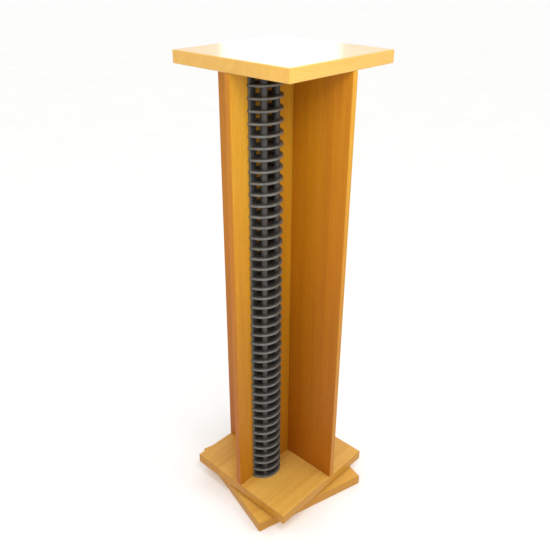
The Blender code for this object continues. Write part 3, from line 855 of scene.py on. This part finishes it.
ring_low, ring_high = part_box("ball_ring")
ring_z = (ring_low.z + ring_high.z) / 2
ball_radius = (ring_high.z - ring_low.z) / 2
half_cage = CAGE_MM / 2000
cage = piece_from("ball_cage", spun([
    (BALL_TRACK - CAGE_HALF, ring_z - half_cage),
    (BALL_TRACK + CAGE_HALF, ring_z - half_cage),
    (BALL_TRACK + CAGE_HALF, ring_z + half_cage),
    (BALL_TRACK - CAGE_HALF, ring_z + half_cage),
], RING_FACETS), plated)
ball_places = [
    Matrix.Rotation(2 * pi * number / BALL_COUNT, 3, "Z") @ Vector((BALL_TRACK, 0, ring_z))
    for number in range(BALL_COUNT)
]
bored(cage, [
    (
        spot - Vector((0, 0, half_cage)), (0, 0, 1),
        CAGE_MM / 1000 + DRILL_LEAD, ball_radius + BALL_PLAY,
    )
    for spot in ball_places
])
soft_shaded(cage)
stand_for(cage, "ball_ring")

balls = bmesh.new()
for spot in ball_places:
    bmesh.ops.create_uvsphere(
        balls, u_segments=28, v_segments=18, radius=ball_radius, matrix=Matrix.Translation(spot)
    )
bearing_balls = piece_from("bearing_balls", balls, ball_steel())
bearing_balls.data.shade_smooth()
stand_for(bearing_balls, "ball_ring")


# Fixings: cross-recess pan-head screws hold the bearing and the racks, longer countersunk ones come
# up through the turning base into the boards, and fluted beech dowels are glued into the top and
# between the boards. The screws are rolled steel with a coarse thread, in bright zinc, or in black
# zinc on the racks.

THREAD_MM = 1.5
THREAD_DEEP = 0.0006
CROSS_WIDE = 0.0009
CROSS_LONG = 0.0040
CROSS_DEEP = 0.0012
PAN_HEAD = 0.0017
PAN_RADIUS = 0.0036
PAN_SHANK = 0.0017
PAN_PLAIN = 0.0035
SINK_HEAD = 0.003
SINK_RADIUS = 0.0040
SINK_SHANK = 0.0021
SINK_PLAIN = 0.026
RIDGE_HALF = 0.0003
POINT = 0.003
SCREW_FACETS = 32
FLUTES = 12
FLUTE_IN = 0.93
DOWEL_CHAMFER = 0.001


def zinc_screw(head_radius, head, shank_radius, length, thread_from, sunk):
    """A screw up the axis from its head's outer face. Length is over all."""
    core = shank_radius - THREAD_DEEP / 2
    if sunk:
        outline = [(0, 0), (head_radius * 0.94, 0), (head_radius, 0.0003), (shank_radius, head)]
    else:
        dome = [
            (head_radius * part, head * (1 - sqrt(1 - part**2))) for part in (0.25, 0.5, 0.75, 0.9)
        ]
        outline = [(0, 0), *dome, (head_radius, head * 0.75), (head_radius * 0.97, head)]
        outline.append((shank_radius, head))
    outline += [(shank_radius, thread_from), (core, thread_from + 0.0004), (core, length - POINT)]
    outline.append((0, length))
    bar = bmesh.new()
    points = [bar.verts.new((radius, 0, height)) for radius, height in outline]
    edges = [bar.edges.new(pair) for pair in zip(points, points[1:])]
    bmesh.ops.spin(
        bar, geom=points + edges, cent=(0, 0, 0), axis=(0, 0, 1), angle=2 * pi,
        steps=SCREW_FACETS, use_merge=True,
    )
    bmesh.ops.remove_doubles(bar, verts=bar.verts, dist=1e-6)
    screw = piece_from("screw_pattern", bar, plated)

    turns = (length - POINT - thread_from - 0.001) / (THREAD_MM / 1000)
    steps = int(turns * SCREW_FACETS)
    ridge = bmesh.new()
    start = thread_from + 0.0007
    profile = [
        (core - RIDGE_HALF, start - RIDGE_HALF), (shank_radius + THREAD_DEEP / 3, start),
        (core - RIDGE_HALF, start + RIDGE_HALF),
    ]
    face = ridge.faces.new([ridge.verts.new((radius, 0, height)) for radius, height in profile])
    bmesh.ops.spin(
        ridge, geom=[face, *face.edges, *face.verts], cent=(0, 0, 0), axis=(0, 0, 1),
        dvec=(0, 0, THREAD_MM / 1000 / SCREW_FACETS), angle=2 * pi * steps / SCREW_FACETS,
        steps=steps,
    )
    cut_or_join(screw, ridge, "UNION")

    cross = bmesh.new()
    for size in ((CROSS_LONG, CROSS_WIDE), (CROSS_WIDE, CROSS_LONG)):
        place = Matrix.Diagonal((*size, 2 * CROSS_DEEP, 1.0))
        bar = bmesh.ops.create_cube(cross, size=1.0, matrix=place)["verts"]
        bottom = [point for point in bar if point.co.z > 0]
        bmesh.ops.scale(cross, vec=(0.7, 0.7, 1.0), verts=bottom)
        cut_or_join(screw, cross, "DIFFERENCE")
        cross = bmesh.new()
    cross.free()
    return screw


def place_screws(pattern, nodes_and_directions, material):
    """Copies of one screw, each head first from where its CAD node's head is."""
    pattern.data.materials[0] = material
    for node, direction in nodes_and_directions:
        middle, half, _ = fixing_axis(node)
        along = Vector(direction)
        turned = Vector((0, 0, 1)).rotation_difference(along).to_matrix().to_4x4()
        mesh = pattern.data.copy()
        mesh.transform(Matrix.Translation(middle - along * half) @ turned)
        screw = bpy.data.objects.new(node + "_steel", mesh)
        bpy.context.scene.collection.objects.link(screw)
        soft_shaded(screw)
        stand_for(screw, node)
    bpy.data.objects.remove(pattern)


pan_long = 2 * fixing_axis("front_rack_screw_1")[1]
sunk_long = 2 * fixing_axis("base_screw_front")[1]
bearing_screws = [(node, (0, 0, -1)) for node in lower_screws]
bearing_screws += [(node, (0, 0, 1)) for node in upper_screws]
rack_screws = [(f"front_rack_screw_{number}", (0, 1, 0)) for number in range(1, 7)]
rack_screws += [(f"rear_rack_screw_{number}", (0, -1, 0)) for number in range(1, 7)]
blackened = zinc_plate("Black zinc-plated steel", ("#1E1F21", "#292828", "#302D29"))
for screws, finish in ((bearing_screws, plated), (rack_screws, blackened)):
    pan = zinc_screw(PAN_RADIUS, PAN_HEAD, PAN_SHANK, pan_long, PAN_PLAIN, False)
    place_screws(pan, screws, finish)
place_screws(
    zinc_screw(SINK_RADIUS, SINK_HEAD, SINK_SHANK, sunk_long, SINK_PLAIN, True),
    [(node, (0, 0, 1)) for node in BASE_SCREWS], plated,
)


def plain_beech():
    """Beech dowel, cut and left bare: pale pinkish brown with short darker flecks along it."""
    material, tree, shader, place = new_material("Bare beech")
    stretched = add_node(
        tree, "ShaderNodeMapping", {"Vector": place, "Scale": (700.0, 700.0, 90.0)}
    ).outputs["Vector"]
    flecks = add_node(
        tree, "ShaderNodeTexNoise", {"Vector": stretched, "Scale": 1.0, "Detail": 3.0}
    )
    shade = colour_steps(
        tree, flecks.outputs["Fac"], [(0.34, "#A97E57"), (0.5, "#C9A27A"), (0.7, "#D8B68F")]
    )
    tree.links.new(shade, shader.inputs["Base Color"])
    bump = add_node(
        tree, "ShaderNodeBump",
        {"Height": flecks.outputs["Fac"], "Strength": 0.2, "Distance": 0.0002},
    )
    tree.links.new(bump.outputs["Normal"], shader.inputs["Normal"])
    shader.inputs["Roughness"].default_value = 0.7
    return material


beech = plain_beech()
dowel_nodes = [
    (f"top_dowel_{tag}", (0, 0, 1)) for tag in ("centre_left", "centre_right", "front", "rear")
]
dowel_nodes += [
    (f"{side}_divider_dowel_{number}", (0, 1, 0)) for side in SIDES for number in (1, 2, 3)
]
for node, direction in dowel_nodes:
    middle, half, radius = fixing_axis(node)
    dowel = bmesh.new()
    bmesh.ops.create_cone(
        dowel, cap_ends=True, segments=4 * FLUTES, radius1=radius, radius2=radius, depth=2 * half
    )
    ends = [edge for edge in dowel.edges if abs(edge.verts[0].co.z - edge.verts[1].co.z) < 1e-7]
    bmesh.ops.bevel(
        dowel, geom=ends, affect="EDGES", offset=DOWEL_CHAMFER, segments=1, profile=0.5,
        material=-1,
    )
    for point in dowel.verts:
        turn = round(Vector((1, 0)).angle_signed(point.co.xy) / (2 * pi) * 4 * FLUTES)
        if turn % 4 == 0:
            point.co.xy = point.co.xy * FLUTE_IN
    turned = Vector((0, 0, 1)).rotation_difference(Vector(direction)).to_matrix()
    bmesh.ops.rotate(dowel, verts=dowel.verts, cent=(0, 0, 0), matrix=turned)
    bmesh.ops.translate(dowel, verts=dowel.verts, vec=middle)
    peg = piece_from(node + "_peg", dowel, beech)
    soft_shaded(peg, 20)
    stand_for(peg, node)
